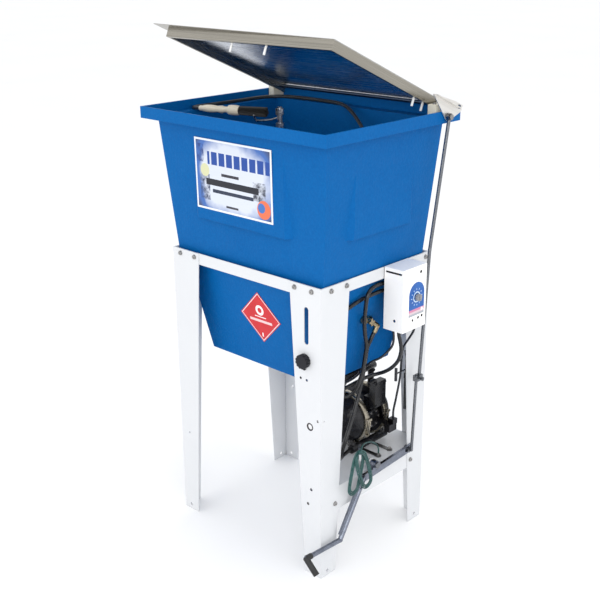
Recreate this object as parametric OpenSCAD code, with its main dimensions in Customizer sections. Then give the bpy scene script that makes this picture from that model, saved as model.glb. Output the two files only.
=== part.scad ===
// Free-standing parts washer: a tapered tank on a sheet-metal stand, with a
// foot-operated lid, an air-driven diaphragm pump and a control box.
// X runs along the front, Y towards the back, Z up. The origin is the bottom
// centre of the whole washer's box.

/* [Tank] */
// Outer width of the upturned rim
rim_w = 630; // [620:1:640]
// Outer depth of the upturned rim
rim_d = 500; // [494:1:510]
// Height of the rim above the floor
rim_h = 1155; // [1150:1:1160]
// Height of the upturned lip
lip_h = 29.5; // [24:0.5:32]
// Wall thickness of the moulded tank
wall = 5; // [4:0.5:6]
// Height of the tank's underside
tank_floor = 497; // [480:1:520]

/* [Stand] */
// Outer width of the stand
stand_w = 529; // [527:1:533]
// Outer depth of the stand
stand_d = 420; // [418:1:424]
// Height of the top rails
stand_h = 786; // [784:1:790]
// Leg flange width at the top
leg_top = 102; // [90:1:108]
// Leg flange width at the floor
leg_foot = 54; // [50:1:60]
// Thickness of the stand's sheet
sheet = 2; // [1.5:0.5:2.5]

/* [Lid] */
// Opening angle of the lid as drawn
lid_open = 23.4; // [20:0.1:25]
// Length of the lid in front of its hinge
lid_reach = 451; // [440:1:455]
// Depth of the lid's skirt
skirt_h = 25; // [20:1:28]

/* [Pedal] */
// Height of the pedal lever's pivot
pivot_z = 258; // [254:1:262]
// Reach of the lever behind its pivot
lever_rear = 141; // [138:1:144]
// Diameter of the lever's round bar
bar_d = 13; // [12:1:15]

/* [Pump] */
// Radius of the pump's chambers
pump_r = 74; // [70:1:76]
// Height of the pump's axis
pump_z = 334; // [332:1:336]

/* [Hidden] */

$fn = 48;
// Offset from the stand's centre to the centre of the whole washer's box
mid_x = 11.75;
mid_y = -18.07;

half_w = stand_w / 2;
half_d = stand_d / 2;
rail_h = 30;
rail_z = stand_h - rail_h;

// Tank sections, as half widths and half depths at each height
tank_y = -3;
lip_z = rim_h - lip_h;
lip_wall = 6;
shoulder_z = rail_z + sheet;
top_hw = 288;
top_hd = 216;
shoulder_hw = 255;
shoulder_hd = 190;
lower_hw = 249;
lower_hd = 178;
floor_hw = 197;
floor_hd = 136;
lower_slope = (lower_hw - floor_hw) / (shoulder_z - tank_floor);
panel_top = 1112;
panel_bottom = 886;
panel_proud = 12;

// Hinge axis of the lid
hinge_y = 232;
hinge_z = 1161;
shaft_r = 5;
// Underside and top of the lid's sheet above the hinge axis
lid_top = 7.2;
lid_t = 1.5;
skirt_x = 275;
// The right hinge block has two screws, the short left one has one
block_screw_at = [[295, 164], [295, 214], [-296.5, 210]];

// Crank pin and the rod's way down to the lever
pin_local = [-36, -36];
pin_y = hinge_y + pin_local[0] * cos(lid_open) + pin_local[1] * sin(lid_open);
pin_z = hinge_z - pin_local[0] * sin(lid_open) + pin_local[1] * cos(lid_open);
crank_x = 317;
rod_x = 325.6;
rod_r = 4.5;
rod_kink = [310, 147, 812];
rod_split = [294, 143, 450];
lower_rod_top = [293, 134, 470];

// Pedal lever
lever_x = 277;
pivot_y = -14;
pin_hole_y = pivot_y + lever_rear;
pin_hole_z = pivot_z - 10;
bar_r = bar_d / 2;
lever_bend = [lever_x, -57, 236];
lever_knee = [lever_x, -150, 93];
pedal_corner = [lever_x, -278, 100.5];
pedal_end = [lever_x + 33, -278, 70];

// Pump on its shelf
pump_x = 140;
pump_y = 72;
// Angle and distance of each manifold from the pump's axis
ports = [[90, 118], [-60, 86]];
port_y = 60;
foot_bolt_x = [72, 239];
foot_y = 24;
shelf_z = 242;

// Control box on the right side
box_x = 324.5;
box_front = 24;
box_back = 118;
box_bottom = 624;
box_top = 788;
dial_y = 79;
dial_z = 708;

// Air valve behind the front right leg
knob_x = 213;
knob_z = 595;

// Drain valve on the lower right wall
drain_y = -11;
drain_z = 648;

// Wash brush resting on the left ledge and on the riser's hook
brush_a = [-266, -97, 1137.5];
brush_b = [-72, -40, 1139];
riser = [-52, -16];
hose_r = 4.75;
brush_hose_route = [[-266.3, -97.1, 1137.5], [-277, -99.6, 1137.1], [-288, -97.2, 1136.5],
    [-296.6, -89, 1135.8], [-301.2, -78, 1135.4], [-302.4, -64, 1135.3], [-301, -40, 1135.3],
    [-298, -5, 1135.3], [-296, 40, 1135.3], [-296, 90, 1135.3], [-296, 130, 1135.3], [-293, 160, 1135.3],
    [-284, 184, 1135.3], [-270, 201, 1135.3], [-252, 213, 1135.3], [-225, 220, 1135.3], [-190, 223, 1135.3],
    [-150, 223, 1135.3], [-110, 221, 1135.5], [-72, 215, 1136], [-36, 203, 1136], [0, 186, 1132],
    [36, 168, 1121], [72, 150, 1104], [106, 134, 1080], [136, 121, 1048], [158, 112, 1008], [174, 105, 960],
    [184, 99, 905], [190, 94, 850], [192, 91, 800], [194, 90, 776], [199, 90, 757], [209, 90, 740.5],
    [221, 90, 736], [231.9, 90, 736]];

// Earth cable, from the pump's foot over the hook to the hank
lead_r = 2;
earth_route = [[239, 48, 252.5], [239, 48, 262], [240.5, 41, 277], [245, 24, 293], [251, 4, 306],
    [258, -16, 316.5], [266, -36, 325], [274, -55, 331.5], [282, -73, 335.8], [287, -84, 337.1],
    [291, -91, 337.3]];
hank_top = 335;
hank_drop = 128;
hank_w = 54;

// Held hoses
suction_route = [[236.48, 21.9, 605.8], [234.9, 11.3, 588.9], [226, 9, 566], [219, 11, 528], [214, 8, 485],
    [213, -6, 438], [216, -26, 397], [220, -45, 371], [224, -62, 347], [225, -76, 322], [222, -84, 296],
    [212, -80, 276], [199, -62, 264], [188, -38, 259.7], [183, -14, 259.5], [183, -0.2, 259.5]];
discharge_route = [[140, -0.2, 452], [140, -10, 452], [143, -21, 448], [153, -31, 441], [170, -36, 434],
    [192, -37, 432], [211, -35, 443], [226, -31, 466], [232, -27, 487], [236, -21, 510], [239.5, -16, 552],
    [241, -13, 583], [243.5, -22, 614], [248, -31, 648], [254, -36, 681], [260, -40, 708], [262, -37, 727],
    [261, -24, 739], [258, -2, 742], [256, 22, 741.5], [254, 46, 738], [254, 62, 736], [254, 75.8, 736]];
valve_hose_route = [[256, 59.8, 722], [256, 42, 722], [252, 10, 720], [249, -20, 717], [247, -50, 713],
    [246.5, -84, 706], [245, -108, 698], [242.8, -132, 686], [239, -154, 668], [231.5, -173, 648],
    [221, -184, 633], [214.5, -186, 624], [214, -186, 617], [214, -186, 611.2]];
exhaust_route = [[298, 44, 626], [298, 46, 608], [297, 56, 580], [292, 64, 554], [281, 68, 526],
    [262, 68, 502], [240, 66, 484], [220, 58, 474], [206, 44, 468], [199, 24, 464], [196, 0, 461],
    [194, -40, 458], [190, -90, 457], [186, -140, 457], [181, -182, 468], [179, -197, 490], [184, -200, 520],
    [196, -196, 546], [206, -190, 562], [206, -190, 578.9]];
supply_route = [[290, 32, 626], [291, 34, 600], [286, 32, 576], [270, 12, 550], [248, 0, 535],
    [227, -3.5, 512], [220, -20, 497], [216, -42, 489], [214, -80, 487], [215, -120, 492], [218, -150, 508],
    [220, -176, 536], [220, -188, 560], [220, -188, 578.9]];
signal_route = [[305, 100, 626], [303, 101, 606], [288, 102, 580], [268, 112, 555], [256, 119, 536],
    [252, 120, 500], [250, 119, 454], [243, 113, 390], [238, 110, 355], [238, 110, 333.2]];

// ---------------------------------------------------------------- helpers

module place() {
    translate([-mid_x, -mid_y, 0]) children();
}

// Parts of the lid are drawn flat around the hinge axis, then opened
module in_lid() {
    translate([0, hinge_y, hinge_z]) rotate([-lid_open, 0, 0]) children();
}

module cyl_x(r, x0, x1, y, z) {
    translate([x0, y, z]) rotate([0, 90, 0]) cylinder(r = r, h = x1 - x0);
}

module cyl_y(r, y0, y1, x, z) {
    translate([x, y0, z]) rotate([-90, 0, 0]) cylinder(r = r, h = y1 - y0);
}

module box(x0, x1, y0, y1, z0, z1) {
    translate([x0, y0, z0]) cube([x1 - x0, y1 - y0, z1 - z0]);
}

// Straight round bar between two points
module bar(a, b, r) {
    d = b - a;
    len = norm(d);
    translate(a) rotate([0, acos(d[2] / len), atan2(d[1], d[0])]) cylinder(r = r, h = len);
}

// Round bar through a list of points, with rounded corners
module bar_path(points, r) {
    for (i = [0:len(points) - 2]) bar(points[i], points[i + 1], r);
    for (i = [1:len(points) - 2]) translate(points[i]) sphere(r = 1.08 * r);
}

// Block whose four walls slope evenly between two heights
module frustum(hw0, hd0, z0, hw1, hd1, z1) {
    intersection() {
        rotate([90, 0, 0]) linear_extrude(height = 2 * rim_d, center = true)
            polygon([[-hw0, z0], [hw0, z0], [hw1, z1], [-hw1, z1]]);
        rotate([90, 0, 90]) linear_extrude(height = 2 * rim_w, center = true)
            polygon([[-hd0, z0], [hd0, z0], [hd1, z1], [-hd1, z1]]);
    }
}

function unit(v) = v / norm(v);
function tangent(p, i) = unit(p[min(i + 1, len(p) - 1)] - p[max(i - 1, 0)]);
// Ring of points round a route; aside is a direction that the route never takes
function ring(p, i, r, sides, aside) =
    let (t = tangent(p, i), u = unit(cross(t, aside)), v = cross(t, u))
    [for (k = [0:sides - 1]) p[i] + r * (cos(360 * k / sides) * u + sin(360 * k / sides) * v)];

module hose(route, r, aside, sides = 8) {
    rings = len(route);
    skin = [for (i = [0:rings - 2]) for (k = [0:sides - 1])
        let (n = (k + 1) % sides)
        [i * sides + k, i * sides + n, (i + 1) * sides + n, (i + 1) * sides + k]];
    start = [for (k = [0:sides - 1]) sides - 1 - k];
    finish = [for (k = [0:sides - 1]) (rings - 1) * sides + k];
    polyhedron(points = [for (i = [0:rings - 1]) each ring(route, i, r, sides, aside)],
        faces = concat(skin, [start], [finish]));
}

function wall_x(z) = floor_hw + (z - tank_floor) * lower_slope;
function leg_w(z) = leg_foot + (leg_top - leg_foot) * z / stand_h;

// ------------------------------------------------------------------- tank

// Panel that stands proud of a sloping wall, more towards its bottom edge
module wedge(half_len, depth, wall_top, wall_bottom) {
    face = wall_bottom + panel_proud;
    intersection() {
        rotate([90, 0, 90]) linear_extrude(height = 2 * half_len + 40, center = true)
            polygon([[depth, panel_bottom], [face, panel_bottom], [wall_top, panel_top], [depth, panel_top]]);
        // Soft slopes down both sides
        translate([0, 0, panel_bottom - 5]) linear_extrude(height = panel_top - panel_bottom + 10)
            polygon([[-half_len - 12, depth - 5], [half_len + 12, depth - 5], [half_len + 12, wall_bottom - 3],
                [half_len - 8, face + 1], [8 - half_len, face + 1], [-half_len - 12, wall_bottom - 3]]);
    }
}

module panels(inset) {
    slope_y = (top_hd - shoulder_hd) / (lip_z - shoulder_z);
    slope_x = (top_hw - shoulder_hw) / (lip_z - shoulder_z);
    drop_top = lip_z - panel_top;
    drop_bottom = lip_z - panel_bottom;
    mirror([0, 1, 0]) wedge(160 - inset, 150, top_hd - drop_top * slope_y - inset,
        top_hd - drop_bottom * slope_y - inset);
    rotate([0, 0, -90]) wedge(116 - inset, 200, top_hw - drop_top * slope_x - inset,
        top_hw - drop_bottom * slope_x - inset);
}

module tank() {
    color("royalblue") place() translate([0, tank_y, 0]) difference() {
        union() {
            frustum(shoulder_hw, shoulder_hd, shoulder_z, top_hw, top_hd, lip_z + wall);
            frustum(floor_hw, floor_hd, tank_floor, lower_hw, lower_hd, shoulder_z + wall);
            box(-rim_w / 2, rim_w / 2, -rim_d / 2, rim_d / 2, lip_z, rim_h);
            panels(0);
        }
        frustum(shoulder_hw - wall, shoulder_hd - wall, shoulder_z + wall,
            top_hw - wall, top_hd - wall, lip_z + 3 * wall);
        frustum(floor_hw - wall, floor_hd - wall, tank_floor + wall,
            lower_hw - wall, lower_hd - wall, shoulder_z + 2 * wall);
        box(-rim_w / 2 + lip_wall, rim_w / 2 - lip_wall, -rim_d / 2 + lip_wall,
            rim_d / 2 - lip_wall, lip_z + wall, rim_h + 1);
        panels(wall);
        cyl_x(9.1, 200, 240, drain_y - tank_y, drain_z);
        cyl_x(8.1, 230, 255, 90 - tank_y, 736);
    }
}

// Distance of the front panel's face from the tank's middle at a height
function panel_face(z) = shoulder_hd + (z - shoulder_z) * (top_hd - shoulder_hd) / (lip_z - shoulder_z)
    + panel_proud * (panel_top - z) / (panel_top - panel_bottom);

module tank_label() {
    lean = atan((top_hd - shoulder_hd) / (lip_z - shoulder_z)) - atan(panel_proud / (panel_top - panel_bottom));
    color("white") place() translate([-17, tank_y - panel_face(1004) - 0.05, 1004]) rotate([90 + lean, 0, 0])
        linear_extrude(height = 0.8) square([268, 178], center = true);
}

module hazard_diamond() {
    lean = atan((lower_hd - floor_hd) / (shoulder_z - tank_floor));
    front = floor_hd + (642 - tank_floor) * tan(lean);
    color("crimson") place() translate([14, tank_y - front - 0.05, 642]) rotate([90 + lean, 0, 0])
        linear_extrude(height = 0.6) rotate(45) square(101.6, center = true);
}

// ------------------------------------------------------------------ stand

// One tapered flange, from the corner outwards along +X
module leg_flange() {
    rotate([90, 0, 0]) linear_extrude(height = sheet)
        polygon([[0, 0], [leg_foot, 0], [leg_w(stand_h), stand_h], [0, stand_h]]);
}

// Leg with its outer corner at the origin and its flanges along +X and +Y
module leg_blank() {
    translate([0, sheet, 0]) leg_flange();
    mirror([1, -1, 0]) translate([0, sheet, 0]) leg_flange();
}

module foot_holes() {
    cyl_y(4.5, -1, sheet + 1, 25, 14);
    cyl_x(4.5, -1, sheet + 1, 25, 14);
}

// The rear bolts sit nearer the corner, clear of the control box
function side_bolts(sy) = sy < 0 ? [35, 90] : [17, 72];

module rail_holes(sy) {
    for (s = [30, 85]) cyl_y(3.2, -1, sheet + 1, s, 774);
    for (s = side_bolts(sy)) cyl_x(3.2, -1, sheet + 1, s, 774);
}

// Leg at a corner of the stand; sx and sy say which corner
module corner(sx, sy) {
    scale_x = sx < 0 ? 0 : 1;
    scale_y = sy < 0 ? 0 : 1;
    translate([sx * half_w, sy * half_d, 0]) mirror([scale_x, 0, 0]) mirror([0, scale_y, 0]) children();
}

module plain_leg(sx, sy) {
    color("white") place() corner(sx, sy) difference() {
        leg_blank();
        foot_holes();
        rail_holes(sy);
        cyl_y(3, -1, sheet + 1, 32, 248);
        if (sx > 0) cyl_x(3.2, -1, sheet + 1, 53, 198);
    }
}

module front_left_leg() plain_leg(-1, -1);
module rear_left_leg() plain_leg(-1, 1);
module rear_right_leg() plain_leg(1, 1);

module front_right_leg() {
    color("white") place() difference() {
        corner(1, -1) difference() {
            leg_blank();
            foot_holes();
            rail_holes(-1);
            cyl_x(3.2, -1, sheet + 1, 53, 198);
        }
        // Upright slot, with round ends
        box(210, 224, -half_d - 1, -half_d + 4, 644, 725);
        cyl_y(7, -half_d - 1, -half_d + 4, 217, 644);
        cyl_y(7, -half_d - 1, -half_d + 4, 217, 725);
        cyl_y(8, -half_d - 1, -half_d + 4, knob_x, knob_z);
        for (h = [[198, 545, 2.5], [218, 544, 2.5], [228, 422, 7], [254, 445, 2.5], [232, 248, 3], [221, 204, 3]])
            cyl_y(h[2], -half_d - 1, -half_d + 4, h[0], h[1]);
        cyl_x(2.5, half_w - 4, half_w + 1, -199, 445);
    }
}

// Rails are angles: an upright web inside the legs and a ledge under the tank
module front_rail_at(sy) {
    y = half_d - sheet;
    mirror([0, sy < 0 ? 0 : 1, 0]) difference() {
        union() {
            box(-half_w + sheet, half_w - sheet, -y, -y + sheet, rail_z, stand_h);
            box(-half_w + 2 * sheet, half_w - 2 * sheet, -y, -y + 26, rail_z, rail_z + sheet);
        }
        for (x = [-half_w + 30, -half_w + 85, half_w - 85, half_w - 30]) cyl_y(3.2, -y - 1, -y + 4, x, 774);
    }
}

module side_rail_at(sx) {
    x = half_w - sheet;
    y = half_d - 2 * sheet;
    mirror([sx < 0 ? 0 : 1, 0, 0]) difference() {
        union() {
            box(-x, -x + sheet, -y, y, rail_z, stand_h);
            box(-x, -x + 12, -half_d + sheet + 26, half_d - sheet - 26, rail_z, rail_z + sheet);
        }
        for (sy = [-1, 1]) for (s = side_bolts(sy)) cyl_x(3.2, -x - 1, -x + 4, sy * (half_d - s), 774);
    }
}

module front_rail() color("white") place() front_rail_at(-1);
module rear_rail() color("white") place() front_rail_at(1);
module left_rail() color("white") place() side_rail_at(-1);
module right_rail() color("white") place() side_rail_at(1);

// Button-head bolt with its washer, pointing inwards along +Y from y = 0
module bolt_y(len) {
    cyl_y(6.5, -1, 0, 0, 0);
    difference() {
        cyl_y(5.2, -4.4, -1, 0, 0);
        cyl_y(1.8, -5, -2.8, 0, 0);
    }
    cyl_y(3, -1, len, 0, 0);
}

module rail_bolts() {
    color("silver") place() for (sx = [-1, 1]) for (sy = [-1, 1]) corner(sx, sy) {
        for (s = [30, 85]) translate([s, 0, 774]) bolt_y(2.9 * sheet);
        for (s = side_bolts(sy)) translate([0, s, 774]) rotate([0, 0, -90]) bolt_y(2.9 * sheet);
    }
}

module pump_shelf() {
    edge = half_w - sheet;
    back = half_d - sheet;
    color("white") place() difference() {
        union() {
            translate([0, 0, shelf_z - sheet]) linear_extrude(height = sheet)
                polygon([[202, 1 - back], [edge, 1 - back], [edge, back - 1], [60, back - 1], [60, -45], [202, -187]]);
            box(edge - sheet, edge, 1 - back, back - 1, 176, shelf_z);
            box(60, 62, -45, back - 1, 212, shelf_z);
            box(202, edge, 1 - back, 3 - back, 176, shelf_z);
            box(202, edge, back - 3, back - 1, 176, shelf_z);
        }
        for (y = [53 - half_d, half_d - 53]) cyl_x(3.2, edge - 4, edge + 1, y, 198);
        for (x = foot_bolt_x) for (s = [-foot_y, foot_y]) translate([x, pump_y + s, shelf_z - 4]) cylinder(r = 3.2, h = 6);
        for (y = [-34, 6]) cyl_x(3.2, edge - 4, edge + 1, y, 226);
    }
}

module shelf_bolts() {
    color("silver") place() for (y = [53 - half_d, half_d - 53])
        translate([half_w, y, 198]) rotate([0, 0, 90]) bolt_y(9);
}

// ------------------------------------------------------------ lid and rod

module hinge_blocks() {
    color("ivory") place() difference() {
        union() {
            box(284, 306, 152, 240, lip_z + wall, 1172);
            box(-306, -287, 200, 240, lip_z + wall, 1172);
        }
        cyl_x(shaft_r + 0.06, -310, 310, hinge_y, hinge_z);
        for (p = block_screw_at) translate([p[0], p[1], 1100]) cylinder(r = 2.6, h = 100);
    }
}

module block_screws() {
    color("silver") place() for (p = block_screw_at) translate([p[0], p[1], 0]) {
        translate([0, 0, 1172]) cylinder(r = 5, h = 3);
        translate([0, 0, lip_z + wall]) cylinder(r = 2.5, h = 1172 - lip_z - wall);
    }
}

module hinge_shaft() {
    color("silver") place() cyl_x(shaft_r, -308, 322, hinge_y, hinge_z);
}

module lid_sheet() {
    color("lightgray") place() in_lid() translate([0, 0, lid_top - lid_t]) linear_extrude(height = lid_t)
        polygon([[skirt_x - 1, 11], [skirt_x - 1, -lid_reach], [-312, -lid_reach - 20],
            [-312, -104], [-skirt_x - 1, -104], [-skirt_x - 1, 11]]);
}

module skirt_side(x0, x1) {
    box(x0, x1, -lid_reach, 6, lid_top - skirt_h, lid_top - lid_t);
}

module lid_skirt() {
    low = lid_top - skirt_h;
    color("silver") place() in_lid() difference() {
        union() {
            skirt_side(skirt_x - 2.5, skirt_x - 1);
            skirt_side(-skirt_x - 1, -skirt_x + 0.5);
            box(-skirt_x - 1, skirt_x - 1, -lid_reach, -lid_reach + 1.5, low, lid_top - lid_t);
            // Hems folded inwards along the bottom edge
            box(skirt_x - 9, skirt_x - 1, -lid_reach, -12, low, low + 3);
            box(-skirt_x - 1, -skirt_x + 7, -lid_reach, -12, low, low + 3);
            box(-skirt_x - 1, skirt_x - 1, -lid_reach, -lid_reach + 8, low, low + 3);
        }
        cyl_x(shaft_r + 0.05, -skirt_x - 4, -skirt_x + 4, 0, 0);
        cyl_x(shaft_r + 0.05, skirt_x - 4, skirt_x + 4, 0, 0);
    }
}

// Plastic pegs that guide the closing lid into the tank's mouth
module lid_guide_pegs() {
    color("white") place() in_lid() for (p = [[-48, -438], [65, -438], [262, -70], [262, -110]])
        translate([p[0], p[1], -38]) cylinder(r = 3, h = lid_top - lid_t + 38);
}

module lid_crank() {
    color("silver") place() in_lid() difference() {
        union() {
            translate([crank_x, 0, 0]) rotate([90, 0, 90]) linear_extrude(height = 3)
                polygon([[-114, -5], [-36, -45], [-27, -45], [10, -12], [16, 8], [-20, 8], [-114, -3]]);
            box(crank_x, crank_x + 15, -114, 16, -5, -3);
        }
        cyl_x(shaft_r + 0.05, crank_x - 1, crank_x + 4, 0, 0);
        cyl_x(4.05, crank_x - 1, crank_x + 4, pin_local[0], pin_local[1]);
        // Relief of the folded flange around the shaft's end
        box(crank_x + 3, crank_x + 16, -7, 17, -6, -2);
    }
}

module crank_pin() {
    color("dimgray") place() {
        cyl_x(4, crank_x - 2, rod_x + 6, pin_y, pin_z);
        cyl_x(7, rod_x + 4.5, rod_x + 8, pin_y, pin_z);
        cyl_x(6.5, crank_x - 1.6, crank_x - 0.1, pin_y, pin_z);
    }
}

module upper_rod() {
    color("gray") place() difference() {
        union() {
            cyl_x(9, rod_x - 4, rod_x + 4, pin_y, pin_z);
            bar_path([[rod_x, pin_y, pin_z], rod_kink, rod_split], rod_r);
        }
        cyl_x(4.06, rod_x - 5, rod_x + 5, pin_y, pin_z);
    }
}

module lower_rod() {
    foot = [290, pin_hole_y, pin_hole_z];
    color("gray") place() {
        bar_path([lower_rod_top, foot, foot - [22, 0, 0]], rod_r - 0.5);
        // Collars that keep the bent end in the lever's slot
        cyl_x(9, 283, 285, pin_hole_y, pin_hole_z);
        cyl_x(9, 269, 271, pin_hole_y, pin_hole_z);
    }
}

// Collar that clamps the two rods side by side
module rod_coupler() {
    color("silver") place() difference() {
        union() {
            box(287, 301, 126, 151, 452, 468);
            cyl_x(3, 300, 312, 138.5, 460);
            cyl_x(5.5, 307, 311, 138.5, 460);
        }
        bar(rod_kink, rod_split, rod_r + 0.05);
        foot = [290, pin_hole_y, pin_hole_z];
        bar(lower_rod_top + 3 * unit(lower_rod_top - foot), foot, rod_r - 0.45);
    }
}

// ------------------------------------------------------------------ pedal

module pedal_bracket() {
    color("dimgray") place() difference() {
        union() {
            box(half_w - sheet, half_w + 1.5, -46, 18, 214, 240);
            box(half_w - sheet, half_w + 1.5, -26, -2, 236, pivot_z);
            cyl_x(12, half_w - sheet, half_w + 1.5, pivot_y, pivot_z);
        }
        cyl_x(5.05, half_w - 4, half_w + 4, pivot_y, pivot_z);
        for (y = [-34, 6]) cyl_x(3.2, half_w - 4, half_w + 4, y, 226);
    }
}

module pedal_pivot_pin() {
    color("silver") place() {
        cyl_x(5, 255, 288, pivot_y, pivot_z);
        cyl_x(9, 285, 289, pivot_y, pivot_z);
        cyl_x(8, 255.5, 260, pivot_y, pivot_z);
        for (y = [-34, 6]) cyl_x(3, 256, half_w + 2, y, 226);
        for (y = [-34, 6]) cyl_x(5.5, half_w + 1.5, half_w + 4.5, y, 226);
    }
}

module pedal_lever() {
    color("gray") place() difference() {
        union() {
            cyl_x(11, lever_x - 7.6, lever_x + 7.6, pivot_y, pivot_z);
            box(lever_x - 4, lever_x + 4, pivot_y - 11, pivot_y + 11, pivot_z - 22, pivot_z);
            bar_path([lever_bend, lever_knee, pedal_corner, pedal_end], bar_r);
            // Flat rear arm below the pivot, and a strip along the front of the round bar
            translate(lever_bend) rotate([3.4, 0, 0]) box(-4, 4, -6, lever_rear + 61, -10, 10);
            translate(lever_bend) rotate([-33, 0, 0]) box(-3, 3, -14.5, -5, -158, -4);
        }
        cyl_x(5.06, lever_x - 9, lever_x + 9, pivot_y, pivot_z);
        // Slot with lost motion for the rod's pin
        box(lever_x - 6, lever_x + 6, pin_hole_y - 10, pin_hole_y + 8, pin_hole_z - 6, pin_hole_z + 6);
        cyl_x(6, lever_x - 6, lever_x + 6, pin_hole_y - 10, pin_hole_z);
        cyl_x(6, lever_x - 6, lever_x + 6, pin_hole_y + 8, pin_hole_z);
    }
}

module pedal_grip() {
    color("black") place() difference() {
        union() {
            bar(pedal_corner, pedal_end + 2 * unit(pedal_end - pedal_corner), 7.8);
            translate(pedal_corner) sphere(r = 8);
        }
        bar(pedal_corner, pedal_end, bar_r + 0.05);
        bar(lever_knee, pedal_corner, bar_r + 0.05);
        translate(pedal_corner) sphere(r = 1.08 * bar_r + 0.05);
    }
}

// ------------------------------------------------------------------- pump

module pump_ring(profile) {
    translate([pump_x, pump_y, pump_z]) rotate([-90, 0, 0]) rotate_extrude() polygon(profile);
}

// Draws its children with +X pointing from the pump's axis to a manifold
module at_port(angle, y) {
    translate([pump_x, pump_y + y, pump_z]) rotate([0, -angle, 0]) children();
}

module pump_body() {
    color("dimgray") place() difference() {
        union() {
            pump_ring([[0, -30], [50, -30], [50, 30], [0, 30]]);
            pump_ring([[0, -37], [68, -37], [68, -30], [0, -30]]);
            pump_ring([[0, 30], [68, 30], [68, 37], [0, 37]]);
            cyl_x(27, pump_x + 20, pump_x + 60, pump_y, pump_z);
            // Elbow for the signal tube, beside the rear clamp
            box(196, 230, 87, 96, 319.5, 329);
            box(226, 244, 87, 118, 298, 320);
            box(228, 246, 100, 118, 318, 333);
        }
        cyl_y(6.06, pump_y - 40, pump_y + 40, pump_x, pump_z);
        // Air spaces behind the diaphragms
        cyl_y(50, pump_y - 38, pump_y - 33, pump_x, pump_z);
        cyl_y(50, pump_y + 33, pump_y + 38, pump_x, pump_z);
        for (a = [0:60:300]) cyl_x(2.1, pump_x + 50, pump_x + 61, pump_y + 21 * cos(a), pump_z + 21 * sin(a));
    }
}

// Domed chamber; side is -1 for the front and 1 for the back
module chamber(side) {
    difference() {
        pump_ring([[0, side * 92], [30, side * 92], [48, side * 80], [64, side * 62], [68, side * 50],
            [68, side * 41], [0, side * 41]]);
        pump_ring([[0, side * 84], [26, side * 84], [44, side * 72], [56, side * 58], [58, side * 40], [0, side * 40]]);
        for (port = ports) at_port(port[0], side * port_y) rotate([0, 90, 0]) cylinder(r = 8.9, h = 90);
    }
}

module pump_front_chamber() color("black") place() chamber(-1);
module pump_rear_chamber() color("black") place() chamber(1);

module pump_band_clamps() {
    color("tan") place() for (s = [-1, 1]) {
        pump_ring([[68.2, s * 39 - 8], [pump_r, s * 39 - 8], [pump_r, s * 39 + 8], [68.2, s * 39 + 8]]);
        for (a = [10, -24]) at_port(a, s * 39) box(pump_r - 2, pump_r + 9, -7, 7, -3, 3);
        at_port(-7, s * 39) translate([pump_r + 5, 0, -19]) cylinder(r = 2.5, h = 40);
    }
}

// Rubber diaphragms, clamped at the rim between the body and the chambers
module pump_diaphragms() {
    color("black") place() for (s = [-1, 1])
        pump_ring([[30.5, s * 39 - 1.6], [67.8, s * 39 - 1.6], [67.8, s * 39 + 1.6], [30.5, s * 39 + 1.6]]);
}

// Shaft with the two pressure plates
module pump_shaft() {
    color("silver") place() {
        cyl_y(6, pump_y - 46, pump_y + 46, pump_x, pump_z);
        for (s = [-1, 1]) cyl_y(30, pump_y + s * 39 - 1, pump_y + s * 39 + 1, pump_x, pump_z);
    }
}

module pump_manifolds() {
    color("dimgray") place() for (port = ports) {
        at_port(port[0], 0) difference() {
            union() {
                cyl_y(11, -72, 72, port[1], 0);
                for (dy = [-port_y, port_y]) cyl_x(8.8, 59, port[1] - 3, dy, 0);
                for (dy = [-port_y, port_y]) cyl_x(12, port[1] - 15, port[1] - 11.5, dy, 0);
            }
            cyl_y(5.5, -80, 52, port[1], 0);
        }
    }
}

// Flat silencer beside the pump, with a bolted cover and a pipe elbow on top
module pump_muffler() {
    color("black") place() difference() {
        union() {
            box(198, 218, 56, 100, 374, 446);
            box(174, 199, 62, 94, 362, 396);
            for (y = [61, 95]) for (z = [379, 441]) cyl_x(3.4, 216, 221, y, z);
            translate([207, 65, 440]) cylinder(r = 6.5, h = 12);
            bar([207, 65, 450], [207, 42, 446], 5.5);
        }
        cyl_y(50.05, pump_y - 31, pump_y + 31, pump_x, pump_z);
        bar([207, 55, 448.3], [207, 40, 445.6], 3.5);
    }
}

module pump_feet() {
    color("dimgray") place() difference() {
        for (s = [-foot_y, foot_y]) {
            box(63, 239, pump_y + s - 5.5, pump_y + s + 5.5, shelf_z, shelf_z + 3);
            translate([239, pump_y + s, shelf_z]) cylinder(r = 8, h = 3);
            for (dx = [-23, 23])
                box(pump_x + dx - 3, pump_x + dx + 3, pump_y + s - 5.5, pump_y + s + 5.5, shelf_z, pump_z - 40);
        }
        for (x = foot_bolt_x) for (s = [-foot_y, foot_y]) translate([x, pump_y + s, shelf_z - 4]) cylinder(r = 3.2, h = 12);
        cyl_y(50.05, pump_y - 40, pump_y + 40, pump_x, pump_z);
    }
}

module pump_bolts() {
    color("silver") place() {
        for (x = foot_bolt_x) for (s = [-foot_y, foot_y]) translate([x, pump_y + s, shelf_z - 8]) {
            cylinder(r = 3, h = 18);
            translate([0, 0, 11]) cylinder(r = 5.5, h = 4);
            translate([0, 0, 1]) cylinder(r = 5.5, h = 4.9);
        }
        // Cover screws round the air motor's cap
        for (a = [0:60:300]) {
            cyl_x(3.6, pump_x + 60, pump_x + 63, pump_y + 21 * cos(a), pump_z + 21 * sin(a));
            cyl_x(2, pump_x + 51, pump_x + 60, pump_y + 21 * cos(a), pump_z + 21 * sin(a));
        }
    }
}

// ------------------------------------------------------------ control box

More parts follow.
